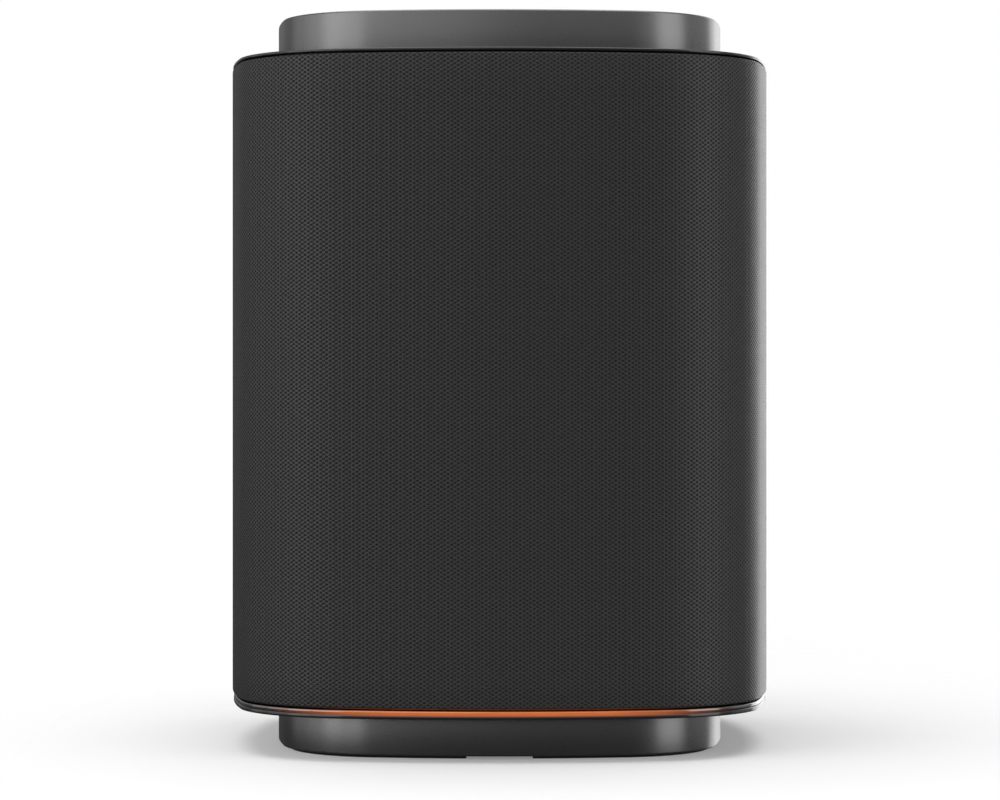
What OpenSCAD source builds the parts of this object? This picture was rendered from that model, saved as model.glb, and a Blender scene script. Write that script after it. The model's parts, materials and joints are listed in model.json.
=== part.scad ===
// Smart speaker: a cloth-covered rounded-square body between two smaller metal plinths.
// +Z is up, the front faces -Y, and the origin is on the floor under the middle. Millimetres.

/* [Body] */
// Width and depth of the cloth-covered body
body_w = 140; // [139:0.5:143]
// Radius of the body's upright corners, seen from above
corner_r = 34; // [32:0.5:36]
// Radius of the body's slightly bowed sides, seen from above
side_r = 194; // [184:5:219]
// Height of the cloth
cloth_h = 160.9; // [160:0.1:164]
// Thickness of the cloth
cloth_t = 0.8; // [0.6:0.1:0.8]

/* [Base and top] */
// How far the base and the top stand in from the body's sides
step_in = 12; // [11.8:0.1:12.4]
// Radius of their upright corners, seen from above
plinth_r = 28; // [26:0.5:30]
// Height of the rubber feet below the metal
foot_h = 0.7; // [0.6:0.1:0.8]
// Height of the metal band of the base
base_h = 10.1; // [9.9:0.1:10.8]
// Height of the metal band of the top
top_h = 10.5; // [10.2:0.1:10.8]
// Wall of the metal bands
band_t = 1.6; // [1.2:0.1:1.6]
// Width of the break in the feet at the middle of each side
foot_gap = 16.5; // [8:0.5:20]

/* [Light ring] */
// Height of the translucent light ring
light_h = 1.15; // [1.1:0.05:1.4]
// Thickness of the gloss plate under the light ring
lip_h = 1.1; // [0.8:0.1:1.2]
// Number of LEDs behind the front of the light ring
led_count = 9; // [3:2:11]

/* [Drivers] */
// Height of the woofer's centre
woofer_z = 85; // [84.5:0.5:85.5]
// Height of the tweeter's centre
tweeter_z = 149.5; // [149.5:0.5:150]

/* [Controls] */
// Radius of the play button
play_r = 11; // [9:0.5:12]
// Radius of the volume buttons
volume_r = 7; // [6:0.5:8]
// Radius of the action button
action_r = 5; // [4:0.5:6]
// Distance of the smaller buttons from the middle of the top
button_pitch = 31; // [30:0.5:32]

/* [Hidden] */
$fn = 64;

// Plan outline: four bowed sides, and four round corners tangent to them
bow_c = side_r - body_w / 2;
body_gap = side_r - corner_r;
plinth_gap = side_r - step_in - plinth_r;
side_steps = 6;
corner_steps = 14;

// Heights, from the floor up
base_z = foot_h;
lip_z = base_z + base_h;
light_z = lip_z + lip_h;
light_top = light_z + light_h;
groove_h = 0.4;
cloth_z = light_top + groove_h;
cloth_top = cloth_z + cloth_h;
seam_h = 0.35;
bezel_z = cloth_top + seam_h;
bezel_t = 0.8;
top_z = bezel_z + bezel_t;
full_h = top_z + top_h;

plate_z = base_z + 0.4;
plate_top = plate_z + 3.5;
foot_top = 2.4;
foot_w = 4;

// Insets from the body's outline
lip_inset = 0.3;
lip_in = 20;
light_inset = 0.4;
light_in = 5;
hub_inset = 12;
hub_in = 14;
bezel_inset = 0.15;
bezel_in = 22;
spigot_inset = 3.2;
spigot_in = 6;
grille_t = 2;
grille_in = cloth_t + grille_t;
chassis_inset = grille_in + 0.2;
band_in = step_in + band_t;
plate_inset = band_in + 0.1;
foot_inset = band_in + 0.4;
tub_inset = 4;
tub_t = 3;

// Chassis plates
chassis_t = 3;
lower_z = cloth_z;
lower_top = lower_z + chassis_t;
upper_top = cloth_top - 0.55;
upper_z = upper_top - chassis_t;

// Enclosure
baffle_y = -52;
baffle_t = 5;
gasket_t = 1;
tub_front = baffle_y + baffle_t + gasket_t;
tub_rear = 43;
tub_z = 36;
tub_top = 169;

// Passive radiators, one on each side
radiator_y = -3;
radiator_x = 57;
radiator_well_r = 37;
radiator_hole_r = 30;

// Rear panel and its window
window_x = 24;
window_z0 = 20;
window_z1 = 52;
panel_y = 60;
panel_t = 2;
panel_wall = 2;
inlet_x = -8;
inlet_z = 36;
pin_pitch = 8.6;
pin_r = 1.2;
switch_x = 10;
switch_z = 42;
switch_travel = 3;
reset_x = 11.5;
reset_z = 30;
reset_r = 1.2;

// Control panel
panel_top = full_h - 0.3;
cap_top = full_h - 0.1;
panel_plate_t = 2.5;
panel_under = panel_top - panel_plate_t;
board_t = 1.6;
control_z = 177.5;
control_top = control_z + board_t;
button_gap = 0.3;
mark_depth = 0.3;
flange_lip = 1.3;
flange_t = 1.2;
pad_h = 0.7;
pad_clear = 0.1;
stem_r = 2;
mic_spots = [[-18, 40], [18, 40], [-18, -44], [18, -44]];
mic_hole_r = 0.6;
mic_size = [3.4, 2.6, 1.1];

// Screws
screw_r = 1.4;
screw_clear_r = 1.7;
screw_post_r = 4;
head_r = 2.7;
head_h = 1.6;
plate_screw_l = 8.5;
base_seat = plate_z + head_h + 0.2;
top_seat = upper_z + head_h + 0.1;
corner_screw = 34;
corner_spots = [for (x = [-1, 1], y = [-1, 1]) [x * corner_screw, y * corner_screw]];
standoff_spots = [[42, 0], [-42, 0], [0, 42], [0, -42]];

// Power board and main board
supply_z = 20;
main_y = 50;
main_back = main_y + board_t;

// Holes that the leads pass through, in the tub's rear wall and in the upper chassis
lead_hole_x = 24;
lead_hole_z = [98, 106];
ribbon_hole = [12, 45];
lead_hole_r = 2;

// Wiring: hand-chosen points of each lead
wire_r = 1;
woofer_lead = [[24, 50, 98], [24, 44, 98], [24, 36, 98], [26, 20, 102], [24, -8, 106],
               [20.5, -24, 105.5], [20.5, -32, 105.5]];
tweeter_lead = [[24, 50, 106], [24, 44, 106], [24, 36, 107], [20, 20, 118], [12, -8, 138],
                [6, -26, 148], [5, -38, 149.5]];
ribbon_lead = [[12, 50, 148], [12, 47, 148.5], [12, 45.2, 153], [12, 45, 165], [12, 45, 177.5]];
function mains_lead(x) = [[x, 45, 34.8], [x, 45, 31.5], [x, 43.5, 28.5], [x, 38, 28], [x, 36, 25],
                          [x, 36, 21.6]];

// ---- Outline and shared shapes ----

function arc(centre, r, from, to, steps, skip = 0) =
    [for (i = [skip : steps - skip])
        let (a = from + (to - from) * i / steps) centre + r * [cos(a), sin(a)]];

function turned(points, a) =
    [for (p = points) [p.x * cos(a) - p.y * sin(a), p.x * sin(a) + p.y * cos(a)]];

// Outlines from step_in inwards follow the plinths' rounder corners
function quarter(inset) =
    let (gap = inset < step_in ? body_gap : plinth_gap,
         corner_c = (sqrt(2 * gap * gap - bow_c * bow_c) - bow_c) / 2,
         tip = atan2(corner_c, corner_c + bow_c))
        concat(arc([-bow_c, 0], side_r - inset, -tip, tip, side_steps),
               arc([corner_c, corner_c], side_r - gap - inset, tip, 90 - tip, corner_steps, 1));

function outline(inset) = [for (q = [0 : 3]) each turned(quarter(inset), 90 * q)];

// A solid plate with the body's outline, moved in by inset
module slab(inset, z0, z1) {
    translate([0, 0, z0]) linear_extrude(z1 - z0) polygon(outline(inset));
}

// A ring between two insets
module band(outer, inner, z0, z1) {
    translate([0, 0, z0]) linear_extrude(z1 - z0) difference() {
        polygon(outline(outer));
        polygon(outline(inner));
    }
}

// A box between two corners
module block(low, high) {
    translate(low) cube(high - low);
}

// An upright round post
module post(spot, r, z0, z1) {
    translate([spot.x, spot.y, z0]) cylinder(r = r, h = z1 - z0);
}

// A flat ring, upright axis
module washer(r_out, r_in, z0, z1) {
    rotate_extrude() translate([r_in, z0]) square([r_out - r_in, z1 - z0]);
}

// A screw whose head sits on z = 0, with its shank below
module screw(length) {
    difference() {
        union() {
            cylinder(r = head_r, h = head_h);
            translate([0, 0, -length]) cylinder(r = screw_r, h = length);
        }
        translate([0, 0, head_h - 1]) cylinder(r = 1.3, h = 2, $fn = 6);
    }
}

// A half-roll rubber surround between two radii, its feet on z = 0
module half_roll(r_in, r_out, t) {
    roll_r = (r_out - r_in) / 2;
    rotate_extrude() translate([(r_in + r_out) / 2, 0]) polygon(concat(
        arc([0, 0], roll_r, 0, 180, 16), arc([0, 0], roll_r - t, 180, 0, 16)));
}

// A domed cap of even thickness, its rim on z = 0
module dome(r, height, t) {
    ball_r = (r * r + height * height) / (2 * height);
    centre = [0, height - ball_r];
    rim = acos(r / ball_r);
    rim_in = asin(-centre.y / (ball_r - t));
    rotate_extrude() polygon(concat(
        arc(centre, ball_r, rim, 90, 10), arc(centre, ball_r - t, 90, rim_in, 10)));
}

// Places children on the front baffle, with local +Z forwards
module on_baffle(z) {
    translate([0, baffle_y, z]) rotate([90, 0, 0]) children();
}

// Places children on a side well, with local +Z outwards; side is 1 on +X, -1 on -X
module on_side(side) {
    translate([side * radiator_x, radiator_y, woofer_z]) rotate([0, side * 90, 0]) children();
}

// Places children on the rear panel's face, with local +Z backwards
module on_rear(x, z) {
    translate([x, panel_y + panel_t, z]) rotate([-90, 0, 0]) children();
}

// ---- Top ----

module top_band() {
    color([0.42, 0.43, 0.44]) band(step_in, band_in, top_z, full_h);
}

button_spots = [["play", [0, 0], play_r], ["down", [-button_pitch, 0], volume_r],
                ["up", [button_pitch, 0], volume_r], ["action", [0, -button_pitch], action_r]];

module top_panel() {
    color([0.06, 0.06, 0.065]) difference() {
        union() {
            slab(plate_inset, panel_under, panel_top);
            for (s = corner_spots) post(s, screw_post_r, upper_top, panel_under);
        }
        for (b = button_spots) post(b[1], b[2] + button_gap, panel_under - 1, full_h);
        for (s = mic_spots) post(s, mic_hole_r, panel_under - 1, full_h);
        for (s = corner_spots) post(s, screw_r, upper_top - 1, upper_top + 8);
    }
}

// A button with its retaining flange and stem, its mark cut in by children
module button(spot, r) {
    flange_top = panel_under - button_gap;
    flange_z = flange_top - flange_t;
    color([0.09, 0.09, 0.095]) difference() {
        union() {
            post(spot, r, flange_top, cap_top);
            post(spot, r + flange_lip, flange_z, flange_top);
            post(spot, stem_r, control_top + pad_h + pad_clear, flange_z);
        }
        translate([spot.x, spot.y, cap_top - mark_depth]) children();
    }
}

// A minus, or a plus if both arms are cut
module plus_mark(both) {
    arm = 2.6;
    w = 0.8;
    translate([-arm, -w / 2, 0]) cube([2 * arm, w, 1]);
    if (both) translate([-w / 2, -arm, 0]) cube([w, 2 * arm, 1]);
}

module play_button() {
    button(button_spots[0][1], play_r) linear_extrude(1) polygon([[-2.6, -3.6], [-2.6, 3.6], [4, 0]]);
}

module volume_down_button() {
    button(button_spots[1][1], volume_r) plus_mark(false);
}

module volume_up_button() {
    button(button_spots[2][1], volume_r) plus_mark(true);
}

module action_button() {
    button(button_spots[3][1], action_r) cylinder(r = 1, h = 1);
}

module button_pad() {
    color([0.3, 0.3, 0.31]) for (b = button_spots)
        post(b[1], 3.5, control_top, control_top + pad_h);
}

module control_board() {
    color([0.08, 0.3, 0.16]) difference() {
        slab(16, control_z, control_top);
        for (s = corner_spots) post(s, screw_post_r + 0.3, control_z - 1, control_top + 1);
    }
}

module microphones() {
    color([0.75, 0.7, 0.5]) for (s = mic_spots)
        translate([s.x - mic_size.x / 2, s.y - mic_size.y / 2, control_top]) cube(mic_size);
}

module top_bezel() {
    color([0.2, 0.2, 0.21]) {
        band(bezel_inset, bezel_in, bezel_z, top_z);
        band(spigot_inset, spigot_in, upper_top, bezel_z);
    }
}

module upper_chassis() {
    color([0.12, 0.12, 0.12]) difference() {
        union() {
            slab(chassis_inset, upper_z, upper_top);
            for (s = standoff_spots) post(s, 2.5, upper_top, control_z);
        }
        for (s = corner_spots) {
            post(s, screw_clear_r, upper_z - 1, upper_top + 1);
            post(s, head_r + 0.3, upper_z - 1, top_seat);
        }
        post(ribbon_hole, lead_hole_r, upper_z - 1, upper_top + 1);
    }
}

module top_screws() {
    color([0.6, 0.6, 0.62]) for (s = corner_spots)
        translate([s.x, s.y, top_seat]) rotate([180, 0, 0]) screw(plate_screw_l);
}

// ---- Body shell ----

// The window in cloth and grille for the rear panel
module rear_window() {
    block([-window_x, panel_y - 10, window_z0], [window_x, body_w / 2 + 5, window_z1]);
}

module cloth_sleeve() {
    color([0.16, 0.16, 0.165]) difference() {
        band(0, cloth_t, cloth_z, cloth_top);
        rear_window();
    }
}

slot_pitch = 8;
slot_w = 5;

// Rows of upright slots through the side that faces -Y
module slot_rows(count, rows) {
    slot_end = -42;
    for (i = [0 : count - 1], row = rows)
        let (x = (i - (count - 1) / 2) * slot_pitch)
            block([x - slot_w / 2, -body_w / 2 - 5, row[0]], [x + slot_w / 2, slot_end, row[1]]);
}

module grille_frame() {
    front_rows = [[30, 56], [60, 86], [90, 116], [120, 142], [146, 167]];
    side_rows = [[50, 72], [76, 98], [102, 124]];
    color([0.1, 0.1, 0.1]) difference() {
        band(cloth_t, grille_in, cloth_z, cloth_top);
        rear_window();
        slot_rows(11, front_rows);
        for (a = [90, -90]) rotate([0, 0, a]) slot_rows(9, side_rows);
    }
}

module front_baffle() {
    color([0.13, 0.13, 0.13]) difference() {
        intersection() {
            slab(tub_inset, tub_z, tub_top);
            block([-80, baffle_y, 0], [80, baffle_y + baffle_t, 200]);
        }
        on_baffle(woofer_z) translate([0, 0, -baffle_t - 1]) cylinder(r = 39, h = baffle_t + 2);
        on_baffle(tweeter_z) translate([0, 0, -baffle_t - 1]) cylinder(r = 15.7, h = baffle_t + 2);
        for (s = case_spots) on_baffle(s.y) translate([s.x, 0, -baffle_t - 1])
            cylinder(r = screw_r, h = baffle_t + 2);
        on_baffle(woofer_z) for (a = woofer_screw_angles) rotate([0, 0, a])
            translate([woofer_screw_r, 0, -4.5]) cylinder(r = screw_r, h = 6);
    }
}

case_spots = [for (x = [-48, 48], z = [42, 128, 163]) [x, z]];
woofer_screw_angles = [45, 135, 225, 315];
woofer_screw_r = 41.9;

// The well that holds a passive radiator in the tub's side wall
module side_well(side) {
    on_side(side) translate([0, 0, -tub_t]) cylinder(r = radiator_well_r + 3, h = 30);
}

module enclosure_tub() {
    post_holes = [for (x = [-36, 36], z = [66, 154]) [x, z]];
    color([0.1, 0.1, 0.1]) difference() {
        union() {
            intersection() {
                slab(tub_inset, tub_z, tub_top);
                block([-80, tub_front, 0], [80, tub_rear, 200]);
                union() {
                    difference() {
                        slab(tub_inset, tub_z, tub_top);
                        intersection() {
                            slab(tub_inset + tub_t, tub_z + tub_t, tub_top - tub_t);
                            block([-80, -80, 0], [80, tub_rear - tub_t, 200]);
                        }
                    }
                    for (side = [-1, 1]) side_well(side);
                }
            }
            for (s = post_holes) translate([s.x, tub_rear, s.y]) rotate([-90, 0, 0])
                cylinder(r = 3, h = main_y - tub_rear);
            for (s = case_spots) intersection() {
                slab(tub_inset, tub_z, tub_top);
                translate([s.x, tub_front, s.y]) rotate([-90, 0, 0]) cylinder(r = 4, h = 9);
            }
        }
        for (side = [-1, 1]) on_side(side) {
            cylinder(r = radiator_well_r, h = 30);
            translate([0, 0, -tub_t - 1]) cylinder(r = radiator_hole_r, h = 10);
            for (a = radiator_screw_angles) rotate([0, 0, a])
                translate([radiator_screw_r, 0, -tub_t - 1]) cylinder(r = screw_r, h = 10);
        }
        for (s = case_spots) translate([s.x, tub_front - 1, s.y]) rotate([-90, 0, 0])
            cylinder(r = screw_r, h = 9);
        for (z = lead_hole_z) translate([lead_hole_x, tub_rear - tub_t - 1, z]) rotate([-90, 0, 0])
            cylinder(r = lead_hole_r, h = tub_t + 2);
    }
}

module enclosure_gasket() {
    front = baffle_y + baffle_t;
    color([0.05, 0.05, 0.05]) difference() {
        intersection() {
            difference() {
                slab(tub_inset, tub_z, tub_top);
                slab(tub_inset + tub_t, tub_z + tub_t, tub_top - tub_t);
            }
            block([-80, front, 0], [80, tub_front, 200]);
        }
        for (s = case_spots) translate([s.x, front - 1, s.y]) rotate([-90, 0, 0])
            cylinder(r = screw_r + 0.3, h = 5);
    }
}

module case_screws() {
    color([0.6, 0.6, 0.62]) for (s = case_spots) on_baffle(s.y) translate([s.x, 0, 0]) screw(12);
}

// ---- Woofer ----

basket_r = 45;
flange_h = 2.5;
cone_r = 31;
pole_r = 12;
coil_r = 12.35;
coil_out = 13;

module woofer_basket() {
    color([0.15, 0.15, 0.15]) on_baffle(woofer_z) difference() {
        rotate_extrude() polygon([[36, flange_h], [basket_r, flange_h], [basket_r, 0], [38.5, 0],
            [31, -18], [31, -20], [15, -20], [15, -18], [28.5, -18], [36, 0]]);
        for (a = [0, 90, 180, 270]) rotate([0, 0, a]) translate([24, -13, -15]) cube([20, 26, 12]);
        for (a = woofer_screw_angles) rotate([0, 0, a]) translate([woofer_screw_r, 0, -1])
            cylinder(r = screw_clear_r, h = 5);
    }
}

module woofer_top_plate() {
    color([0.55, 0.56, 0.58]) on_baffle(woofer_z) washer(24, 13.4, -24, -20);
}

module woofer_magnet() {
    color([0.2, 0.2, 0.2]) on_baffle(woofer_z) washer(26, 15, -34, -24);
}

module woofer_yoke() {
    color([0.55, 0.56, 0.58]) on_baffle(woofer_z) difference() {
        union() {
            translate([0, 0, -39]) cylinder(r = 25, h = 5);
            translate([0, 0, -39]) cylinder(r = pole_r, h = 19);
        }
        translate([0, 0, -40]) cylinder(r = 3, h = 21);
    }
}

module woofer_voice_coil() {
    color([0.7, 0.4, 0.2]) on_baffle(woofer_z) rotate_extrude() polygon([[coil_r, -27],
        [coil_out, -27], [coil_out, -17], [coil_r + 0.4, -17], [coil_r + 0.4, -8], [coil_r, -8]]);
}

module woofer_cone() {
    neck_r = coil_r + 0.45;
    color([0.12, 0.12, 0.13]) on_baffle(woofer_z) rotate_extrude() polygon([[neck_r, -9.6],
        [cone_r, 1.4], [cone_r, flange_h], [cone_r - 1.4, flange_h], [neck_r, -8.4]]);
}

module woofer_dust_cap() {
    color([0.1, 0.1, 0.1]) on_baffle(woofer_z) translate([0, 0, -8]) dome(coil_r + 0.35, 4, 0.6);
}

module woofer_surround() {
    color([0.05, 0.05, 0.05]) on_baffle(woofer_z) translate([0, 0, flange_h])
        half_roll(cone_r - 0.9, 37.6, 0.7);
}

// The corrugated disc that centres the coil, with its outer foot on the basket
module woofer_spider() {
    waves = [[12.8, -14], [15, -13.2], [17, -14.8], [19, -13.2], [21, -14.8], [23, -14],
             [25, -17.4], [27.5, -17.4]];
    t = 0.6;
    color([0.75, 0.6, 0.3]) on_baffle(woofer_z) rotate_extrude() polygon(concat(waves,
        [for (i = [len(waves) - 1 : -1 : 0]) waves[i] - [0, t]]));
}

// ---- Tweeter ----

module tweeter_faceplate() {
    color([0.08, 0.08, 0.08]) on_baffle(tweeter_z) rotate_extrude() polygon([[14.7, 0], [18, 0],
        [18, 2], [15.4, 2], [15.4, 0.5], [14.7, 0.5]]);
}

module tweeter_magnet() {
    color([0.5, 0.5, 0.52]) on_baffle(tweeter_z) rotate_extrude() polygon([[0, -14], [14.2, -14],
        [14.2, -2], [15.5, -2], [15.5, 0], [13.2, 0], [13.2, -6], [12, -6], [12, 0], [0, 0]]);
}

module tweeter_dome() {
    color([0.2, 0.2, 0.22]) on_baffle(tweeter_z) {
        rotate_extrude() polygon([[12.35, -4], [12.75, -4], [12.75, 0], [12.95, 0], [12.95, 0.5],
            [12.35, 0.5]]);
        translate([0, 0, 0.5]) dome(12.6, 5, 0.4);
    }
}

module tweeter_surround() {
    color([0.05, 0.05, 0.05]) on_baffle(tweeter_z) translate([0, 0, 0.5])
        half_roll(12.65, 15.2, 0.4);
}

// ---- Passive radiators ----

radiator_screw_angles = [45, 135, 225, 315];
radiator_screw_r = 33.4;
radiator_frame_h = 2;
radiator_in = 23;

module radiator_frame(side) {
    color([0.13, 0.13, 0.13]) on_side(side) difference() {
        washer(36.5, 29, 0, radiator_frame_h);
        for (a = radiator_screw_angles) rotate([0, 0, a]) translate([radiator_screw_r, 0, -1])
            cylinder(r = screw_clear_r, h = 4);
    }
}

module radiator_surround(side) {
    color([0.05, 0.05, 0.05]) on_side(side) translate([0, 0, radiator_frame_h])
        half_roll(radiator_in, 29.7, 0.7);
}

module radiator_diaphragm(side) {
    edge = radiator_in + 0.7;
    color([0.25, 0.25, 0.26]) on_side(side) rotate_extrude() polygon([[0, -4], [12, -4], [12, 0],
        [edge, 0], [edge, radiator_frame_h], [0, radiator_frame_h]]);
}

module left_radiator_frame() { radiator_frame(-1); }
module left_radiator_surround() { radiator_surround(-1); }
module left_radiator_diaphragm() { radiator_diaphragm(-1); }
module right_radiator_frame() { radiator_frame(1); }
module right_radiator_surround() { radiator_surround(1); }
module right_radiator_diaphragm() { radiator_diaphragm(1); }

// Screws of the woofer and of both radiators
module driver_screws() {
    color([0.6, 0.6, 0.62]) {
        on_baffle(woofer_z) for (a = woofer_screw_angles) rotate([0, 0, a])
            translate([woofer_screw_r, 0, flange_h]) screw(6.5);
        for (side = [-1, 1]) on_side(side) for (a = radiator_screw_angles) rotate([0, 0, a])
            translate([radiator_screw_r, 0, radiator_frame_h]) screw(6);
    }
}

// ---- Electronics ----

module main_board() {
    color([0.08, 0.3, 0.16]) {
        block([-40, main_y, 62], [40, main_back, 158]);
        block([4, main_y, 26], [20, main_back, 62]);
        block([-23, main_back, 113], [-9, main_back + 1.4, 127]);
        block([-4, main_back, 78], [10, main_back + 1.4, 92]);
        for (z = [70, 78, 86]) block([22, main_back, z], [34, main_back + 4, z + 5]);
        block([5.5, main_back, switch_z - 3], [18, main_back + 5.8, switch_z + 3]);
        block([reset_x - 3, main_back, reset_z - 3], [reset_x + 3, main_back + 5.8, reset_z + 3]);
    }
}

module heat_sink() {
    sink_y = main_back + 1.4;
    fins = 9;
    color([0.6, 0.6, 0.62]) {
        block([-30, sink_y, 100], [-2, sink_y + 2, 140]);
        for (i = [0 : fins - 1]) let (x = -30 + i * 26.8 / (fins - 1))
            block([x, sink_y + 2, 100], [x + 1.2, sink_y + 9, 140]);
    }
}

module wireless_module() {
    color([0.7, 0.7, 0.72]) {
        block([8, main_back, 106], [26, main_back + 0.8, 130]);
        block([9, main_back + 0.8, 107], [25, main_back + 2.6, 122]);
    }
}

module antenna() {
    color([0.75, 0.55, 0.2]) {
        block([29, main_back, 134], [39, main_back + 0.8, 156]);
        for (i = [0 : 4]) block([30, main_back + 0.8, 136 + 4 * i], [38, main_back + 1, 138 + 4 * i]);
    }
}

supply_posts = [for (x = [-34, 34], y = [-37, 35]) [x, y]];
tub_posts = [for (x = [-45, 45], y = [-30, 30]) [x, y]];

module power_supply_board() {
    color([0.5, 0.35, 0.12]) block([-38, -41, supply_z], [38, 39, supply_z + board_t]);
}

module transformer() {
    z = supply_z + board_t;
    color([0.75, 0.6, 0.15]) {
        block([-30, -16, z], [-8, 12, z + 3]);
        block([-28, -12, z + 3], [-10, 8, z + 10.5]);
        block([-30, -16, z + 10.5], [-8, 12, z + 13]);
    }
}

module capacitors() {
    z = supply_z + board_t;
    spots = [[8, 8, 5, 13], [20, 8, 5, 13], [6, -12, 4, 11], [16, -12, 4, 11], [26, -12, 4, 11],
             [-20, 26, 3, 9], [-28, 26, 3, 9]];
    color([0.15, 0.2, 0.45]) for (s = spots) post(s, s[2], z, z + s[3]);
}

// Points of a smooth curve through the given ones
function curve_point(p, i, t) =
    let (n = len(p) - 1, a = p[max(i - 1, 0)], b = p[i], c = p[i + 1], d = p[min(i + 2, n)])
    0.5 * (2 * b + (c - a) * t + (2 * a - 5 * b + 4 * c - d) * t * t
        + (3 * b - a - 3 * c + d) * t * t * t);

function smooth(p, steps) = concat(
    [for (i = [0 : len(p) - 2], s = [0 : steps - 1]) curve_point(p, i, s / steps)],
    [p[len(p) - 1]]);

function unit(v) = v / norm(v);

// A round lead that is swept along a route that never runs along X
module lead(route, r) {
    sides = 8;
    path = smooth(route, 3);
    n = len(path);
    points = [for (i = [0 : n - 1])
        let (along = unit(path[min(i + 1, n - 1)] - path[max(i - 1, 0)]),
             up = unit(cross(along, [1, 0, 0])),
             across = cross(up, along))
        for (k = [0 : sides - 1])
            path[i] + r * (cos(360 * k / sides) * across + sin(360 * k / sides) * up)];
    ends = [[for (k = [0 : sides - 1]) k],
            [for (k = [sides - 1 : -1 : 0]) (n - 1) * sides + k]];
    walls = [for (i = [0 : n - 2], k = [0 : sides - 1])
        let (k2 = (k + 1) % sides)
        [i * sides + k2, i * sides + k, (i + 1) * sides + k, (i + 1) * sides + k2]];
    polyhedron(points = points, faces = concat(ends, walls));
}

module wiring() {
    color([0.6, 0.1, 0.1]) lead(woofer_lead, wire_r);
    color([0.1, 0.1, 0.5]) lead(tweeter_lead, wire_r);
    color([0.8, 0.8, 0.8]) lead(ribbon_lead, wire_r);
    for (side = [-1, 1]) color([0.1, 0.1, 0.1])
        lead(mains_lead(inlet_x + side * pin_pitch / 2), wire_r);
}

// ---- Rear ----

module rear_panel() {
    slot_half_z = 1.8;
    cavity_x = window_x - panel_wall;
    color([0.08, 0.08, 0.08]) difference() {
        intersection() {
            slab(0.3, window_z0, window_z1);
            block([-window_x, panel_y, 0], [window_x, 80, 200]);
        }
        block([-cavity_x, panel_y + panel_t, window_z0 + panel_wall],
              [cavity_x, 80, window_z1 - panel_wall]);
        block([inlet_x - inlet_half_x, panel_y - 1, inlet_z - inlet_half_z],
              [inlet_x + inlet_half_x, panel_y + 3, inlet_z + inlet_half_z]);
        block([switch_x - 2.3, panel_y - 1, switch_z - slot_half_z],
              [switch_x + 2.3 + switch_travel, panel_y + 3, switch_z + slot_half_z]);
        on_rear(reset_x, reset_z) translate([0, 0, -4]) cylinder(r = reset_r + 0.3, h = 6);
    }
}

inlet_half_x = 9.5;
inlet_half_z = 6;
inlet_depth = 12;

// Outline of the inlet's cavity: two half-rounds joined by straight sides
function cavity_outline(half_w, half_h) = concat(
    arc([half_w - half_h, 0], half_h, -90, 90, 10),
    arc([half_h - half_w, 0], half_h, 90, 270, 10));

module power_inlet() {
    flange_y = 1.2;
    body_back = 15;
    color([0.03, 0.03, 0.03]) on_rear(inlet_x, inlet_z) difference() {
        union() {
            translate([-11, -7.5, 0]) cube([22, 15, flange_y]);
            translate([-inlet_half_x, -inlet_half_z, -body_back])
                cube([2 * inlet_half_x, 2 * inlet_half_z, body_back]);
        }
        translate([0, 0, flange_y - inlet_depth]) linear_extrude(inlet_depth + 1)
            polygon(cavity_outline(7.9, 4));
        for (side = [-1, 1]) translate([side * pin_pitch / 2, 0, -body_back - 1])
            cylinder(r = pin_r, h = body_back);
    }
}

module inlet_pins() {
    tail_y = 44;
    tip_y = panel_y + panel_t - 1.8;
    color([0.8, 0.75, 0.6]) for (side = [-1, 1])
        translate([inlet_x + side * pin_pitch / 2, tail_y, inlet_z]) rotate([-90, 0, 0])
            cylinder(r = pin_r, h = tip_y - tail_y);
}

module mute_switch() {
    base_y = panel_y - 2;
    base_t = 1.7;
    color([0.75, 0.75, 0.75]) {
        block([switch_x - 4.5, base_y, switch_z - 3], [switch_x + 4.5, base_y + base_t, switch_z + 3]);
        block([switch_x - 2, base_y + base_t, switch_z - 1.5],
              [switch_x + 2, panel_y + panel_t + 1.5, switch_z + 1.5]);
    }
}

module reset_button() {
    flange_y = panel_y - 2;
    color([0.2, 0.2, 0.2]) translate([reset_x, flange_y, reset_z]) rotate([-90, 0, 0]) {
        cylinder(r = reset_r + 1, h = 1.7);
        cylinder(r = reset_r, h = 3.7);
    }
}

// ---- Bottom ----

module bottom_bezel() {
    color([0.05, 0.05, 0.05]) {
        band(lip_inset, lip_in, lip_z, light_z);
        band(hub_inset, hub_in, light_z, cloth_z);
    }
}

module light_ring() {
    color([0.85, 0.42, 0.15]) band(light_inset, light_in, light_z, light_top);
}

module light_board() {
    color([0.08, 0.3, 0.16]) band(6.5, 11.5, light_z, light_z + 0.6);
}

module leds() {
    pitch = 7;
    board_top = light_z + 0.6;
    bow_r = side_r - 7.4;
    color([0.9, 0.9, 0.8]) for (i = [0 : led_count - 1])
        let (a = asin((i - (led_count - 1) / 2) * pitch / bow_r))
            translate([0, bow_c, 0]) rotate([0, 0, a])
                block([-1, -bow_r - 0.6, board_top], [1, -bow_r + 0.6, board_top + 0.8]);
}

module lower_chassis() {
    color([0.12, 0.12, 0.12]) difference() {
        union() {
            slab(chassis_inset, lower_z, lower_top);
            for (s = corner_spots) post(s, screw_post_r, plate_top, lower_z);
            for (s = supply_posts) post(s, 2.5, lower_top, supply_z);
            for (s = tub_posts) post(s, 3.5, lower_top, tub_z);
        }
        for (s = corner_spots) post(s, screw_r, base_z, lower_z - 1);
    }
}

module base_band() {
    color([0.3, 0.31, 0.32]) band(step_in, band_in, base_z, lip_z);
}

// The four corner pieces of the foot ring
module foot_ring(z0, z1) {
    difference() {
        band(foot_inset, foot_inset + foot_w, z0, z1);
        block([-foot_gap / 2, -80, z0 - 1], [foot_gap / 2, 80, z1 + 1]);
        block([-80, -foot_gap / 2, z0 - 1], [80, foot_gap / 2, z1 + 1]);
    }
}

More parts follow.
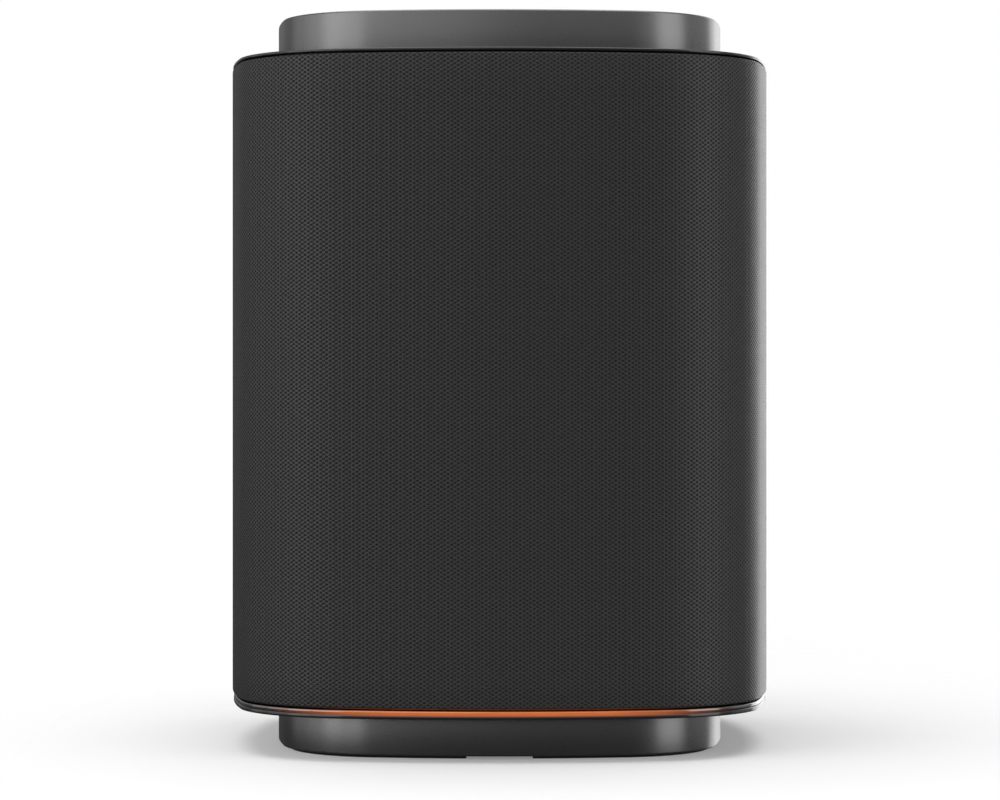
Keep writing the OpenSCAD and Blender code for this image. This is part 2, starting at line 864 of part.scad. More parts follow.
module base_plate() {
    color([0.07, 0.07, 0.07]) difference() {
        slab(plate_inset, plate_z, plate_top);
        foot_ring(0, foot_top);
        for (s = corner_spots) {
            post(s, screw_clear_r, 0, plate_top + 1);
            post(s, head_r + 0.3, 0, base_seat);
        }
    }
}

module rubber_feet() {
    color([0.03, 0.03, 0.03]) foot_ring(0, foot_top);
}

module base_screws() {
    color([0.6, 0.6, 0.62]) for (s = corner_spots)
        translate([s.x, s.y, base_seat]) rotate([180, 0, 0]) screw(plate_screw_l);
}

top_band();
top_panel();
play_button();
volume_down_button();
volume_up_button();
action_button();
button_pad();
control_board();
microphones();
top_bezel();
upper_chassis();
top_screws();
cloth_sleeve();
grille_frame();
front_baffle();
enclosure_tub();
enclosure_gasket();
case_screws();
woofer_basket();
woofer_magnet();
woofer_top_plate();
woofer_yoke();
woofer_cone();
woofer_dust_cap();
woofer_voice_coil();
woofer_surround();
woofer_spider();
driver_screws();
tweeter_faceplate();
tweeter_dome();
tweeter_surround();
tweeter_magnet();
left_radiator_frame();
left_radiator_surround();
left_radiator_diaphragm();
right_radiator_frame();
right_radiator_surround();
right_radiator_diaphragm();
main_board();
heat_sink();
wireless_module();
antenna();
power_supply_board();
transformer();
capacitors();
wiring();
rear_panel();
power_inlet();
inlet_pins();
mute_switch();
reset_button();
bottom_bezel();
light_ring();
light_board();
leds();
lower_chassis();
base_band();
base_plate();
rubber_feet();
base_screws();
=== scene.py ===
"""Looks of the smart speaker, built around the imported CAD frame. Units are metres, the front faces -Y."""

import json
import math
import bmesh
import bpy
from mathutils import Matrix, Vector


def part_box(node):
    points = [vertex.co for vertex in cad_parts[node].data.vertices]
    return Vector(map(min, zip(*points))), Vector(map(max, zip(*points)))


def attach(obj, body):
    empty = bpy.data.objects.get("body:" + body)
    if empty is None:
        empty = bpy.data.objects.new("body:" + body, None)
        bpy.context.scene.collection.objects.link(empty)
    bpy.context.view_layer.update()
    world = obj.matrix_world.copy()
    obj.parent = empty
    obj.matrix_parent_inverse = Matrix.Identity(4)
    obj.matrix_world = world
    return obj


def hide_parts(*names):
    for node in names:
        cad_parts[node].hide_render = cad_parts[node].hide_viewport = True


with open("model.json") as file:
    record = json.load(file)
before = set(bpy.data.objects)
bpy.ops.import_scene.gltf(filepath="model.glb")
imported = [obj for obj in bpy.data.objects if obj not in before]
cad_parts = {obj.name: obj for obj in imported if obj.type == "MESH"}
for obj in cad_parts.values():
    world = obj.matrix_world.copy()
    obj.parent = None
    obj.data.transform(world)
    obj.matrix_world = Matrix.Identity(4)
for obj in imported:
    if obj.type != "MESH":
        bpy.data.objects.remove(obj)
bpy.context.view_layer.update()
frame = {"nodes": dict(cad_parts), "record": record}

MM = 0.001

# Plan outlines, as the CAD has them: bowed sides and round corners, tangent to each other.
# The plinths are drawn inset by STEP_IN, so their outline starts with larger corners.
SIDE_R = 194 * MM
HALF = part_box("cloth_sleeve")[1].x
BOW = SIDE_R - HALF
STEP_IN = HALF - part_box("top_band")[1].x
BAND_T = 1.6 * MM
BODY_CORNER = 34 * MM
PLINTH_CORNER = 28 * MM + STEP_IN

# The rear panel's window in the cloth, and how far round the bowed side it reaches
WINDOW_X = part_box("rear_panel")[1].x
WINDOW_ANGLE = math.asin(WINDOW_X / SIDE_R)

# The distance between an outline's points
STATION_STEP = 2 * MM

# The knit's repeat, and the ribs that show through it
KNIT_WIDTH = 1.679 * MM
KNIT_HEIGHT = 1.047 * MM
RIB_WIDTH = 1.17 * MM

# Noise scales: a slow change of tone, and the grain of moulded plastic
BROAD = 45.0
FINE = 2600.0

# The camera looks straight at the front, level with the middle of the speaker
CAMERA_DISTANCE = 0.924
CAMERA_HEIGHT = 0.0928
LENS = 125.82
SENSOR = 36.0
SHIFT_X = 0.00045
SHIFT_Y = -0.015


def srgb(r, g, b):
    """A display colour, 0 to 255, as the linear colour that shaders take."""
    def linear(c):
        c = c / 255
        return c / 12.92 if c <= 0.04045 else ((c + 0.055) / 1.055) ** 2.4
    return (linear(r), linear(g), linear(b), 1.0)


# ---- Meshes ----

def plan_stations(corner_r):
    """Points round an outline, anticlockwise from the middle of the back, and its length.

    Each is (arc centre, arc radius, outward normal, distance along)."""
    gap = SIDE_R - corner_r
    corner_c = (math.sqrt(2 * gap * gap - BOW * BOW) - BOW) / 2
    bow_angle = math.atan2(corner_c, corner_c + BOW)
    quarter = math.pi / 2
    arcs = []
    for side in range(4):
        facing = quarter * (side + 1)
        this_side = Vector((math.cos(facing), math.sin(facing))) * -BOW
        next_side = Vector((-math.sin(facing), math.cos(facing))) * -BOW
        diagonal = facing + math.pi / 4
        corner = Vector((math.cos(diagonal), math.sin(diagonal))) * corner_c * math.sqrt(2)
        marks = [0, WINDOW_ANGLE, bow_angle, quarter - bow_angle, quarter - WINDOW_ANGLE, quarter]
        centres = [this_side, this_side, corner, next_side, next_side]
        radii = [SIDE_R, SIDE_R, corner_r, SIDE_R, SIDE_R]
        for i in range(5):
            arcs.append((centres[i], radii[i], facing + marks[i], facing + marks[i + 1]))
    stations = []
    distance = 0.0
    for centre, radius, start, end in arcs:
        steps = max(1, round(radius * (end - start) / STATION_STEP))
        for i in range(steps):
            angle = start + (end - start) * i / steps
            normal = Vector((math.cos(angle), math.sin(angle)))
            stations.append((centre, radius, normal, distance + radius * (angle - start)))
        distance += radius * (end - start)
    return stations, distance


# The two outlines that every ring is swept round
BODY = plan_stations(BODY_CORNER)
PLINTH = plan_stations(PLINTH_CORNER)


def new_object(name, mesh):
    obj = bpy.data.objects.new(name, mesh)
    bpy.context.scene.collection.objects.link(obj)
    return obj


def smooth(obj, angle=35):
    obj.data.shade_smooth()
    obj.data.set_sharp_from_angle(angle=math.radians(angle))


def loft(name, profiles):
    """A mesh swept round its outlines. A profile is (outline, [(inset, height), ...], closed).

    The corner attribute "place" holds each corner's distance round the outline and along the profile."""
    verts, faces, places = [], [], []
    for (stations, perimeter), profile, closed in profiles:
        count = len(stations)
        base = len(verts)
        size = len(profile)
        lengths = [0.0]
        for a, b in zip(profile, profile[1:] + profile[:1]):
            lengths.append(lengths[-1] + math.dist(a, b))
        for centre, radius, normal, _ in stations:
            for inset, height in profile:
                spot = centre + normal * (radius - inset)
                verts.append((spot.x, spot.y, height))
        for s in range(count):
            along = stations[s][3]
            along_next = stations[s + 1][3] if s + 1 < count else perimeter
            row, row_next = base + s * size, base + (s + 1) % count * size
            for p in range(size if closed else size - 1):
                q = (p + 1) % size
                faces.append((row + p, row_next + p, row_next + q, row + q))
                places += [(along, lengths[p]), (along_next, lengths[p]),
                           (along_next, lengths[p + 1]), (along, lengths[p + 1])]
    mesh = bpy.data.meshes.new(name)
    mesh.from_pydata(verts, [], faces)
    attribute = mesh.attributes.new("place", "FLOAT_VECTOR", "CORNER")
    for item, (u, v) in zip(attribute.data, places):
        item.vector = (u, v, 0)
    obj = new_object(name, mesh)
    smooth(obj)
    return obj


def edge_arc(inset, height, r, start, end, steps=4):
    """Points of a rounded edge. 0 degrees faces outwards and 90 faces up."""
    points = []
    for i in range(steps + 1):
        a = math.radians(start + (end - start) * i / steps)
        points.append((inset - r * math.cos(a), height + r * math.sin(a)))
    return points


def ring_profile(outline, outer, inner, low, high, r_top, r_bottom=None, r_in=0.2 * MM):
    """A closed ring section with rounded edges, from the lower outer edge upwards."""
    r_bottom = r_top if r_bottom is None else r_bottom
    points = edge_arc(outer + r_bottom, low + r_bottom, r_bottom, -90, 0)
    points += edge_arc(outer + r_top, high - r_top, r_top, 0, 90)
    points += edge_arc(inner - r_in, high - r_in, r_in, 90, 180)
    points += edge_arc(inner - r_in, low + r_in, r_in, 180, 270)
    return outline, points, True


# ---- Materials ----

class Shader:
    """A Principled material that is built up node by node."""

    def __init__(self, name, colour, roughness, metallic=0.0, **sockets):
        self.material = bpy.data.materials.new(name)
        self.material.use_nodes = True
        self.tree = self.material.node_tree
        self.surface = self.tree.nodes["Principled BSDF"]
        self.surface.inputs["Base Color"].default_value = colour
        self.surface.inputs["Roughness"].default_value = roughness
        self.surface.inputs["Metallic"].default_value = metallic
        for socket, value in sockets.items():
            self.surface.inputs[socket.replace("_", " ")].default_value = value
        self.colour = colour

    def node(self, kind, inputs=(), **settings):
        """A new node. Inputs are values or other nodes' outputs, and settings are its properties."""
        n = self.tree.nodes.new(kind)
        for key, value in settings.items():
            setattr(n, key, value)
        for key, value in dict(inputs).items():
            self.feed(value, n.inputs[key])
        return n

    def feed(self, value, socket):
        """Links an output to a socket, or sets the socket to a number or colour."""
        if isinstance(value, bpy.types.NodeSocket):
            self.tree.links.new(value, socket)
        else:
            socket.default_value = value

    def math(self, operation, a, b=0.0):
        return self.node("ShaderNodeMath", {0: a, 1: b}, operation=operation).outputs[0]

    def place(self, scale=(1, 1, 1)):
        """Object coordinates, stretched by scale."""
        coordinates = self.node("ShaderNodeTexCoord").outputs["Object"]
        return self.node("ShaderNodeMapping", {"Vector": coordinates, "Scale": scale}).outputs[0]

    def noise(self, vector, scale, detail=2.0, roughness=0.5):
        settings = {"Vector": vector, "Scale": scale, "Detail": detail, "Roughness": roughness}
        return self.node("ShaderNodeTexNoise", settings).outputs["Fac"]

    def fade(self, value, start, end, at_start=0.0, at_end=1.0):
        """Goes smoothly from at_start to at_end as value goes from start to end, and holds beyond."""
        ends = {"From Min": start, "From Max": end, "To Min": at_start, "To Max": at_end}
        n = self.node("ShaderNodeMapRange", ends, interpolation_type="SMOOTHSTEP", clamp=True)
        self.feed(value, n.inputs["Value"])
        return n.outputs[0]

    def wave(self, position, pitch, operation="SINE"):
        """A sine or cosine that repeats every pitch."""
        return self.math(operation, self.math("MULTIPLY", position, 2 * math.pi / pitch))

    def split(self, vector):
        """The vector's x, y and z."""
        return self.node("ShaderNodeSeparateXYZ", {0: vector}).outputs

    def mix(self, factor, a, b):
        """Colour a where factor is 0, and b where it is 1."""
        # The node's colour sockets are inputs 6 and 7 and output 2
        n = self.node("ShaderNodeMix", data_type="RGBA")
        self.feed(factor, n.inputs[0])
        self.feed(a, n.inputs[6])
        self.feed(b, n.inputs[7])
        return n.outputs[2]

    def tint(self, factor, darker=0.8, lighter=1.2):
        """Varies the base colour between darker and lighter times itself."""
        low = tuple(c * darker for c in self.colour[:3]) + (1.0,)
        high = tuple(min(c * lighter, 1.0) for c in self.colour[:3]) + (1.0,)
        self.feed(self.mix(factor, low, high), self.surface.inputs["Base Color"])

    def vary_roughness(self, factor, low, high):
        """Varies the roughness between low and high with a noise."""
        self.feed(self.fade(factor, 0.3, 0.7, low, high), self.surface.inputs["Roughness"])

    def bump(self, height, distance, strength=1.0):
        settings = {"Height": height, "Distance": distance, "Strength": strength}
        normal = self.node("ShaderNodeBump", settings).outputs[0]
        self.feed(normal, self.surface.inputs["Normal"])


def cloth_material():
    """Charcoal knit: a small dark hole wherever two slanted waves peak together, and yarn between."""
    s = Shader("cloth_knit", srgb(50, 50, 50), 0.45, Specular_IOR_Level=0.5)
    place = s.node("ShaderNodeAttribute", attribute_name="place").outputs["Vector"]
    split = s.split(place)
    wander = s.math("MULTIPLY", s.noise(place, 900.0, 1.0), 0.2 * MM)
    along = s.math("ADD", split[0], wander)
    across = s.math("MULTIPLY", along, 2 * math.pi / KNIT_WIDTH)
    up = s.math("MULTIPLY", s.math("ADD", split[1], wander), 2 * math.pi / KNIT_HEIGHT)
    rising_share, falling_share, rib_share = 0.53, 0.47, 0.15
    rising = s.math("MULTIPLY", s.math("COSINE", s.math("SUBTRACT", across, up)), rising_share)
    falling = s.math("MULTIPLY", s.math("COSINE", s.math("ADD", across, up)), falling_share)
    rib = s.math("MULTIPLY", s.wave(along, RIB_WIDTH, "COSINE"), rib_share)
    cell = s.math("ADD", s.math("ADD", rising, falling), rib)
    yarn = s.noise(place, 5200.0, 3.0, 0.65)
    patch = s.noise(place, 60.0, 2.0)
    hole = s.fade(cell, -0.35, 0.7)
    thread = s.mix(yarn, srgb(29, 29, 30), srgb(59, 59, 59))
    thread = s.mix(s.fade(patch, 0.35, 0.65, 0.0, 0.12), thread, srgb(52, 52, 52))
    s.feed(s.mix(hole, thread, srgb(7, 7, 8)), s.surface.inputs["Base Color"])
    s.feed(s.fade(hole, 0.0, 1.0, 0.38, 0.8), s.surface.inputs["Roughness"])
    height = s.math("ADD", s.math("MULTIPLY", hole, -1.0), s.math("MULTIPLY", yarn, 0.25))
    s.bump(height, 0.22 * MM, 0.42)
    return s.material


def anodised(name, colour, roughness):
    """Satin anodised aluminium: a fine grain round the band, and a slow change of tone."""
    s = Shader(name, colour, roughness, 1.0)
    grain = s.noise(s.place((1, 1, 14)), 900.0, 3.0, 0.6)
    blast = s.noise(s.place(), 5200.0, 2.0)
    tone = s.noise(s.place(), 25.0, 1.0)
    s.tint(s.math("ADD", s.math("MULTIPLY", grain, 0.5), s.math("MULTIPLY", tone, 0.5)), 0.9, 1.1)
    s.vary_roughness(grain, roughness - 0.03, roughness + 0.04)
    s.bump(s.math("ADD", grain, blast), 0.004 * MM, 0.5)
    return s.material


def moulded(name, colour, roughness, texture=FINE, depth=0.02 * MM, **sockets):
    """Moulded plastic with a fine spark-eroded texture."""
    s = Shader(name, colour, roughness, **sockets)
    fine = s.noise(s.place(), texture, 2.0, 0.6)
    broad = s.noise(s.place(), BROAD, 2.0)
    s.tint(s.math("MULTIPLY", s.math("ADD", fine, broad), 0.5), 0.85, 1.15)
    s.vary_roughness(broad, roughness - 0.05, roughness + 0.05)
    s.bump(fine, depth, 0.5)
    return s.material


def button_material():
    """Satin button caps, with pale paint on the level floor of their sunk marks."""
    s = Shader("button_satin", srgb(44, 44, 46), 0.5)
    fine = s.noise(s.place(), FINE, 2.0, 0.6)
    cap = s.mix(fine, srgb(38, 38, 40), srgb(50, 50, 52))
    paint = s.mix(fine, srgb(150, 150, 152), srgb(172, 172, 174))
    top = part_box("play_button")[1].z
    height = s.split(s.place())[2]
    above_the_marks = s.fade(height, top - 0.2 * MM, top - 0.12 * MM, 1.0, 0.0)
    below_the_marks = s.fade(height, top - 0.5 * MM, top - 0.4 * MM)
    sunk = s.math("MULTIPLY", below_the_marks, above_the_marks)
    facing = s.node("ShaderNodeNewGeometry").outputs["Normal"]
    level = s.fade(s.split(facing)[2], 0.7, 0.9)
    s.feed(s.mix(s.math("MULTIPLY", sunk, level), cap, paint), s.surface.inputs["Base Color"])
    s.vary_roughness(s.noise(s.place(), BROAD, 2.0), 0.45, 0.55)
    s.bump(fine, 0.02 * MM, 0.5)
    return s.material


def metal(name, colour, roughness, stretch=(1, 1, 1), scale=1800.0):
    """Bare or plated metal with small scratches. A small number in stretch draws them out that way."""
    s = Shader(name, colour, roughness, 1.0)
    scratches = s.noise(s.place(stretch), scale, 3.0, 0.6)
    broad = s.noise(s.place(), 70.0, 2.0)
    s.tint(s.math("MULTIPLY", s.math("ADD", scratches, broad), 0.5), 0.85, 1.1)
    s.vary_roughness(scratches, roughness - 0.05, roughness + 0.08)
    s.bump(scratches, 0.008 * MM, 0.5)
    return s.material


def front_glow(s, dark, lit):
    """How strongly the LEDs light a point: along the front only, fading towards the corners.

    It has no light at the height dark, and all of it at the height lit and beyond."""
    x, y, z = s.split(s.place())
    near_middle = s.fade(s.math("ABSOLUTE", x), 0.35 * HALF, 0.86 * HALF, 1.0, 0.0)
    in_front = s.fade(y, -0.6 * HALF, -0.3 * HALF, 1.0, 0.0)
    level = s.fade(z, dark, lit)
    return s.math("MULTIPLY", s.math("MULTIPLY", near_middle, in_front), level)


def light_ring_material():
    """Smoked gloss polycarbonate, lit orange from behind along the front, up to its dark upper edge."""
    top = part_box("light_ring")[1].z
    s = Shader("light_ring", srgb(42, 33, 30), 0.2, Coat_Weight=1.0, Coat_Roughness=0.12, Coat_IOR=2.2)
    spots = s.fade(s.noise(s.place((1, 1, 6)), 160.0, 1.0), 0.3, 0.7, 0.95, 1.12)
    strength = s.math("MULTIPLY", front_glow(s, top - 0.08 * MM, top - 0.32 * MM), spots)
    s.feed(srgb(206, 102, 34), s.surface.inputs["Emission Color"])
    s.feed(strength, s.surface.inputs["Emission Strength"])
    s.bump(s.noise(s.place(), 700.0, 1.0), 0.004 * MM, 0.3)
    return s.material


def lip_material():
    """The gloss bezel under the light ring, with a painted glow: a faint orange emission just under the
    ring stands in for the ring's light falling on it.
    """
    ring_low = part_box("light_ring")[0].z
    s = Shader("gloss_lip_painted_glow", srgb(26, 26, 28), 0.22, Coat_Weight=0.5)
    s.tint(s.noise(s.place(), BROAD, 2.0), 0.85, 1.15)
    # Painted light: the ring's spill onto the bezel is painted as emission, strongest along the front just
    # under the ring
    s.feed(srgb(150, 70, 28), s.surface.inputs["Emission Color"])
    s.feed(front_glow(s, ring_low - 0.6 * MM, ring_low), s.surface.inputs["Emission Strength"])
    s.bump(s.noise(s.place(), 900.0, 2.0, 0.6), 0.004 * MM, 0.5)
    return s.material


def board_material(name, mask, trace):
    """A circuit board: solder mask, with tracks and pads showing through it."""
    s = Shader(name, mask, 0.35, Coat_Weight=0.3)
    grid = {"Vector": s.place(), "Scale": 420.0, "Randomness": 0.35}
    tracks = s.node("ShaderNodeTexVoronoi", grid, feature="DISTANCE_TO_EDGE").outputs["Distance"]
    pads = s.node("ShaderNodeTexVoronoi", {"Vector": s.place(), "Scale": 300.0}).outputs["Distance"]
    on_track = s.fade(tracks, 0.08, 0.12, 1.0, 0.0)
    on_pad = s.fade(pads, 0.12, 0.16, 1.0, 0.0)
    colour = s.mix(on_track, mask, trace)
    s.feed(s.mix(on_pad, colour, srgb(190, 170, 110)), s.surface.inputs["Base Color"])
    s.bump(s.math("ADD", on_track, on_pad), 0.03 * MM, 0.6)
    return s.material


def wound_copper():
    """Fine lacquered windings, lying round the coil's axis."""
    s = Shader("copper_winding", srgb(190, 105, 60), 0.35, 0.9)
    turns = s.wave(s.split(s.place())[1], 0.3 * MM)
    s.tint(s.fade(turns, -1.0, 1.0), 0.6, 1.1)
    s.bump(turns, 0.05 * MM, 0.7)
    return s.material


def woven(name, colour, pitch, roughness=0.8):
    """A plain weave on curved cloth parts, such as the dome and the spider."""
    s = Shader(name, colour, roughness, Sheen_Weight=0.2)
    x, _, z = s.split(s.place())
    weave = s.math("MULTIPLY", s.wave(x, pitch), s.wave(z, pitch))
    s.tint(s.fade(weave, -1.0, 1.0), 0.7, 1.2)
    s.bump(weave, 0.06 * MM, 0.6)
    return s.material


def slot_materials():
    """One material for each of the record's slots."""
    return {
        "band_metal": anodised("anodised_band", srgb(123, 123, 124), 0.30),
        "panel_black": moulded("soft_touch_black", srgb(33, 33, 34), 0.62),
        "button_black": button_material(),
        "bezel_dark": moulded("gloss_bezel", srgb(26, 26, 28), 0.22, 900.0, 0.004 * MM, Coat_Weight=0.5),
        "cloth": cloth_material(),
        "frame_plastic": moulded("black_abs", srgb(30, 30, 31), 0.55),
        "light_orange": light_ring_material(),
        "rubber_black": moulded("rubber", srgb(22, 22, 22), 0.85, 3400.0, 0.03 * MM),
        "steel": metal("zinc_steel", srgb(178, 180, 184), 0.3),
        "ferrite": moulded("ferrite", srgb(58, 58, 60), 0.7, 1900.0, 0.04 * MM),
        "copper": wound_copper(),
        "cone_black": moulded("pressed_fibre", srgb(40, 40, 43), 0.75, 1300.0, 0.08 * MM),
        "dome_silk": woven("coated_silk", srgb(58, 58, 62), 0.35 * MM, 0.5),
        "spider_cloth": woven("spider_cloth", srgb(180, 145, 86), 0.5 * MM),
        "board_green": board_material("green_board", srgb(18, 74, 40), srgb(38, 110, 62)),
        "board_brown": board_material("brown_board", srgb(120, 82, 40), srgb(150, 108, 60)),
        "can_metal": metal("tinned_can", srgb(186, 187, 190), 0.25),
        "sink_metal": metal("extruded_sink", srgb(170, 172, 176), 0.35, (1, 1, 0.05)),
        "coil_yellow": moulded("taped_winding", srgb(206, 170, 60), 0.4, 500.0, 0.04 * MM),
        "cap_blue": moulded("capacitor_sleeve", srgb(34, 48, 110), 0.3, 600.0, 0.01 * MM, Coat_Weight=0.4),
        "wire": moulded("wire_insulation", srgb(140, 34, 30), 0.45, 800.0, 0.01 * MM),
        "inlet_black": moulded("glass_filled_nylon", srgb(24, 24, 25), 0.5, 3000.0, 0.03 * MM),
        "pin_metal": metal("nickel_pin", srgb(205, 198, 180), 0.2),
        "switch_grey": moulded("switch_grey", srgb(150, 150, 152), 0.45),
        "led_white": moulded("led_phosphor", srgb(230, 205, 120), 0.35, 700.0, 0.01 * MM),
    }


MATERIALS = slot_materials()

# The new pieces that stand for CAD nodes
SHELLS = []


def place_piece(obj, slot_name, node):
    """Gives a new piece its slot's material, and makes it stand for a node of the housing."""
    obj.data.materials.append(MATERIALS[slot_name])
    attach(obj, "housing")
    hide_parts(node)
    SHELLS.append(obj)


# ---- Pieces ----

def dress_cad_nodes():
    """Every CAD node takes its slot's material, and the visible hard ones get eased edges."""
    eased_mm = {"top_panel": 0.2, "play_button": 0.1, "volume_down_button": 0.1, "volume_up_button": 0.1,
                "action_button": 0.1, "rear_panel": 0.35, "power_inlet": 0.3, "mute_switch": 0.3,
                "reset_button": 0.2, "base_plate": 0.3, "rubber_feet": 0.15}
    for entry in frame["record"]["subparts"]:
        obj = frame["nodes"][entry["node"]]
        obj.data.materials.clear()
        obj.data.materials.append(MATERIALS[entry["material_slot"]])
    for name, width in eased_mm.items():
        obj = frame["nodes"][name]
        weld = obj.modifiers.new("weld", "WELD")
        weld.merge_threshold = 0.005 * MM
        bevel = obj.modifiers.new("eased_edges", "BEVEL")
        bevel.width = width * MM
        bevel.segments = 2
        bevel.limit_method = "ANGLE"
        bevel.angle_limit = math.radians(40)


def metal_bands():
    """The two anodised rings, rounded most where they face up or down in the open."""
    for node, r_top, r_bottom in (("top_band", 0.5, 0.15), ("base_band", 0.15, 0.4)):
        low, high = (corner.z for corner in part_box(node))
        section = ring_profile(PLINTH, STEP_IN, STEP_IN + BAND_T, low, high, r_top * MM, r_bottom * MM)
        place_piece(loft(f"{node}_shell", [section]), "band_metal", node)


def bezels():
    """Two thin plates. A spigot under the upper one and a hub on the lower one reach into the body."""
    plate_edge = 0.3 * MM
    inner_edge = 0.05 * MM
    low, high = (corner.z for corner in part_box("top_bezel"))
    plate_low = high - 0.8 * MM
    plate = ring_profile(BODY, 0.15 * MM, 22 * MM, plate_low, high, plate_edge)
    spigot = ring_profile(BODY, 3.2 * MM, 6 * MM, low, plate_low, inner_edge)
    place_piece(loft("top_bezel_plate", [plate, spigot]), "bezel_dark", "top_bezel")
    low, high = (corner.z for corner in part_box("bottom_bezel"))
    plate_high = low + 1.1 * MM
    plate = ring_profile(BODY, 0.3 * MM, 20 * MM, low, plate_high, plate_edge)
    hub = ring_profile(PLINTH, 12 * MM, 14 * MM, plate_high, high, inner_edge)
    bottom = loft("bottom_bezel_plate", [plate, hub])
    place_piece(bottom, "bezel_dark", "bottom_bezel")
    bottom.data.materials[0] = lip_material()


def light_ring():
    """The translucent ring between the cloth and the lower bezel."""
    low, high = (corner.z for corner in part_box("light_ring"))
    ring = loft("light_ring_lens", [ring_profile(BODY, 0.4 * MM, 5 * MM, low, high, 0.45 * MM)])
    place_piece(ring, "light_orange", "light_ring")


def cloth_sleeve():
    """The knit, stretched over the grille frame and turned in at its rims and round the rear window."""
    low, high = (corner.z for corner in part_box("cloth_sleeve"))
    window_low, window_high = (corner.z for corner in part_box("rear_panel"))
    turn = 0.5 * MM
    hem = 0.75 * MM
    rows = 12
    profile = [(hem, low)] + edge_arc(turn, low + turn, turn, -90, 0)
    profile += [(0.0, window_low), (0.0, window_high)]
    profile += [(0.0, window_high + (high - window_high) * i / rows) for i in range(1, rows)]
    profile += edge_arc(turn, high - turn, turn, 0, 90) + [(hem, high)]
    cloth = loft("cloth", [(BODY, profile, False)])
    mesh = bmesh.new()
    mesh.from_mesh(cloth.data)
    hole = []
    for face in mesh.faces:
        middle = face.calc_center_median()
        if middle.y > 0 and abs(middle.x) < WINDOW_X and window_low < middle.z < window_high:
            hole.append(face)
    bmesh.ops.delete(mesh, geom=hole, context="FACES")
    rim = []
    for edge in mesh.edges:
        if edge.is_boundary and window_low - MM < edge.verts[0].co.z < window_high + MM:
            rim.append(edge)
    turned = bmesh.ops.extrude_edge_only(mesh, edges=rim)
    for vert in (v for v in turned["geom"] if isinstance(v, bmesh.types.BMVert)):
        vert.co.y -= hem
    mesh.to_mesh(cloth.data)
    mesh.free()
    smooth(cloth)
    place_piece(cloth, "cloth", "cloth_sleeve")


# ---- Stage ----

def make_camera():
    """A long lens, looking level, with the frame shifted down a little."""
    data = bpy.data.cameras.new("camera")
    data.sensor_width = SENSOR
    data.lens = LENS
    data.shift_x = SHIFT_X
    data.shift_y = SHIFT_Y
    camera = bpy.data.objects.new("camera", data)
    camera.location = (0, -CAMERA_DISTANCE, CAMERA_HEIGHT)
    camera.rotation_euler = (math.pi / 2, 0, 0)
    bpy.context.scene.collection.objects.link(camera)
    bpy.context.scene.camera = camera


def make_floor():
    """A pale floor, faintly self-lit, that fades into the white surroundings, so that no edge shows."""
    bpy.ops.mesh.primitive_circle_add(vertices=96, radius=3.0, fill_type="NGON")
    floor = bpy.context.object
    floor.name = "floor"
    white = (1, 1, 1, 1)
    s = Shader("floor_white", srgb(238, 238, 238), 0.9, Emission_Color=white, Emission_Strength=0.21)
    s.tint(s.noise(s.place(), 30.0, 2.0), 0.99, 1.01)
    # It is solid inside an oval that is longest from front to back and lies a little to the right
    narrowed = s.place((2.6, 1, 1))
    middle = (0.06, 0, 0)
    solid_to = 0.15
    gone_by = 0.5
    offset = s.node("ShaderNodeVectorMath", {0: narrowed, 1: middle}, operation="SUBTRACT").outputs[0]
    away = s.node("ShaderNodeVectorMath", {0: offset}, operation="LENGTH").outputs["Value"]
    s.feed(s.fade(away, solid_to, gone_by, 1.0, 0.0), s.surface.inputs["Alpha"])
    floor.data.materials.append(s.material)
    floor.visible_glossy = False
    floor.visible_shadow = False


def soft_light(name, azimuth, height, width, tall, radiance, distance=1.1, aim=0.09):
    """A rectangular softbox of a given brightness, turned to a point at the height aim.

    Azimuth is in degrees, 0 in front and 90 on the right."""
    data = bpy.data.lights.new(name, "AREA")
    data.shape = "RECTANGLE"
    data.size = width
    data.size_y = tall
    data.energy = radiance * math.pi * width * tall
    light = bpy.data.objects.new(name, data)
    a = math.radians(azimuth)
    light.location = (distance * math.sin(a), -distance * math.cos(a), height)
    towards = Vector((0, 0, aim)) - light.location
    light.rotation_euler = towards.to_track_quat("-Z", "Y").to_euler()
    light.visible_camera = False
    bpy.context.scene.collection.objects.link(light)
    return light


def rim_light(name, azimuth, width, radiance, pieces):
    """A softbox behind on the right that lights only these pieces."""
    light = soft_light(name, azimuth, height=0.25, width=width, tall=1.1, radiance=radiance)
    lit = bpy.data.collections.new(f"lit_by_{name}")
    for piece in pieces:
        lit.objects.link(piece)
    light.light_linking.receiver_collection = lit


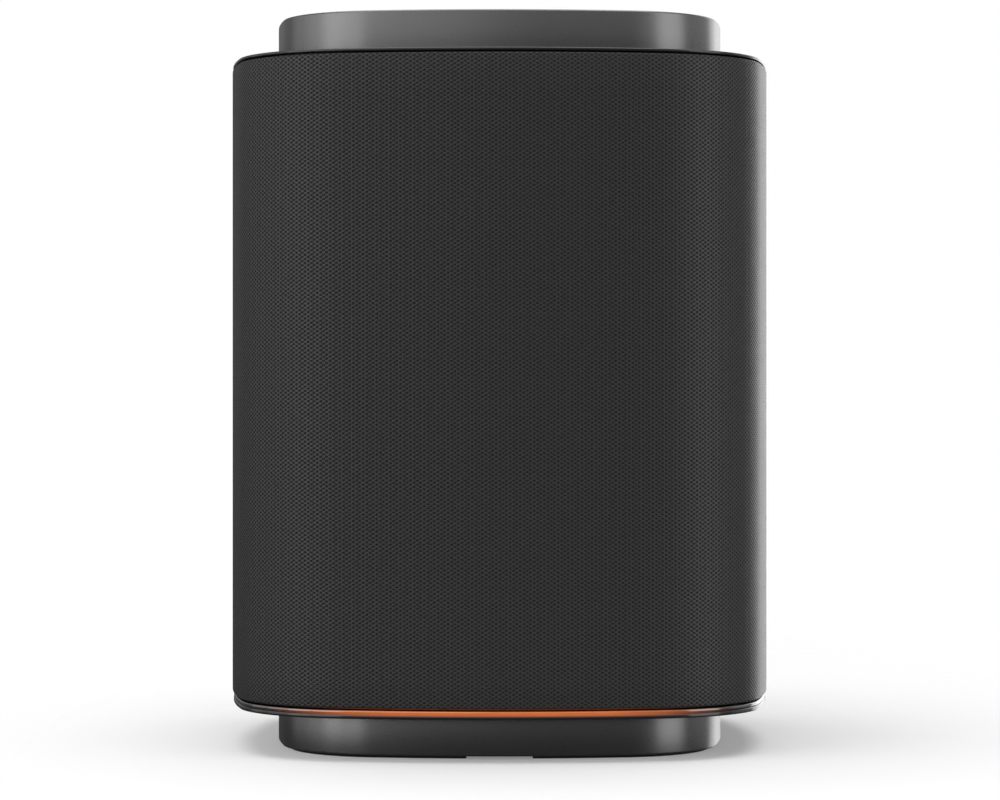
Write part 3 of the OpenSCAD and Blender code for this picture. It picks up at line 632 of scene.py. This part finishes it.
def make_lights():
    """Softboxes from the front round to the left, two on the right, rim lights behind, and a ceiling."""
    wide = 0.46
    for i, (azimuth, radiance) in enumerate(((38, 0.16), (10, 0.1), (-14, 0.5))):
        soft_light(f"front_{i}", azimuth, height=0.47, width=wide, tall=0.8, radiance=radiance)
    for i, (azimuth, radiance) in enumerate(((-38, 1.25), (-62, 1.55), (-86, 0.75), (-110, 0.45))):
        soft_light(f"left_{i}", azimuth, height=0.33, width=wide, tall=0.95, radiance=radiance)
    soft_light("right_strip", 67, height=0.27, width=0.62, tall=1.0, radiance=1.35)
    soft_light("right_fill", 112, height=0.27, width=0.6, tall=1.0, radiance=0.25)
    cloth = bpy.data.objects["cloth"]
    hard = list(frame["nodes"].values()) + SHELLS
    hard.remove(cloth)
    rim_light("hard_rim", 150, width=0.7, radiance=1.45, pieces=hard)
    rim_light("cloth_rim", 154, width=0.55, radiance=2.9, pieces=[cloth])
    nearly_overhead = 0.001
    soft_light("ceiling", 0, height=1.4, width=1.6, tall=1.6, radiance=2.05, distance=nearly_overhead,
               aim=0.0)


def make_world():
    """White where the camera looks past the object. For the light it is a dim room, darker below."""
    world = bpy.data.worlds.new("studio")
    bpy.context.scene.world = world
    world.use_nodes = True
    nodes, links = world.node_tree.nodes, world.node_tree.links
    room = nodes["Background"]
    height = nodes.new("ShaderNodeSeparateXYZ")
    links.new(nodes.new("ShaderNodeTexCoord").outputs["Generated"], height.inputs[0])
    tone = nodes.new("ShaderNodeMapRange")
    tone.interpolation_type = "SMOOTHSTEP"
    just_below, just_above = -0.12, 0.1
    dark, light = 0.06, 0.25
    tone.inputs["From Min"].default_value = just_below
    tone.inputs["From Max"].default_value = just_above
    tone.inputs["To Min"].default_value = dark
    tone.inputs["To Max"].default_value = light
    links.new(height.outputs[2], tone.inputs["Value"])
    links.new(tone.outputs[0], room.inputs["Color"])
    backdrop = nodes.new("ShaderNodeBackground")
    backdrop.inputs["Color"].default_value = (1, 1, 1, 1)
    seen = nodes.new("ShaderNodeLightPath")
    mix = nodes.new("ShaderNodeMixShader")
    links.new(seen.outputs["Is Camera Ray"], mix.inputs[0])
    links.new(room.outputs[0], mix.inputs[1])
    links.new(backdrop.outputs[0], mix.inputs[2])
    links.new(mix.outputs[0], nodes["World Output"].inputs[0])


bpy.context.scene.view_settings.view_transform = "Standard"
dress_cad_nodes()
metal_bands()
bezels()
light_ring()
cloth_sleeve()
make_camera()
make_floor()
make_lights()
make_world()
